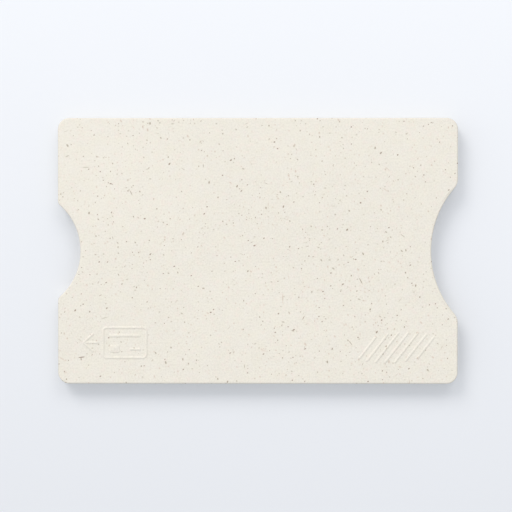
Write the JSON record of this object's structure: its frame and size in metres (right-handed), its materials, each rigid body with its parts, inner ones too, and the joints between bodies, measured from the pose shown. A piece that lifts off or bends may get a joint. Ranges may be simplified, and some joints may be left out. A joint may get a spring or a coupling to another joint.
{
  "type": "credit card holder",
  "caption": "Rigid sleeve for a bank card: welded moulded shells round a slot that is open at the grip notch, foil shields inside, and a push notch at the closed end.",
  "frame": {"origin": "middle of the back face, which the holder lies on", "axes": "+X along the length to the mouth where the card goes in, +Y up across the front face, +Z out of the front face"},
  "size_m": [0.091, 0.0604, 0.004],
  "materials": {
    "straw_plastic": "matt moulded plastic filled with chopped straw, cream with fine brown and grey flecks",
    "shield_foil": "soft rolled foil, satin with faint rolling lines"
  },
  "bodies": {
    "root": {"front_shell": "straw_plastic", "back_shell": "straw_plastic", "front_shield": "shield_foil", "back_shield": "shield_foil"}
  },
  "joints": []
}
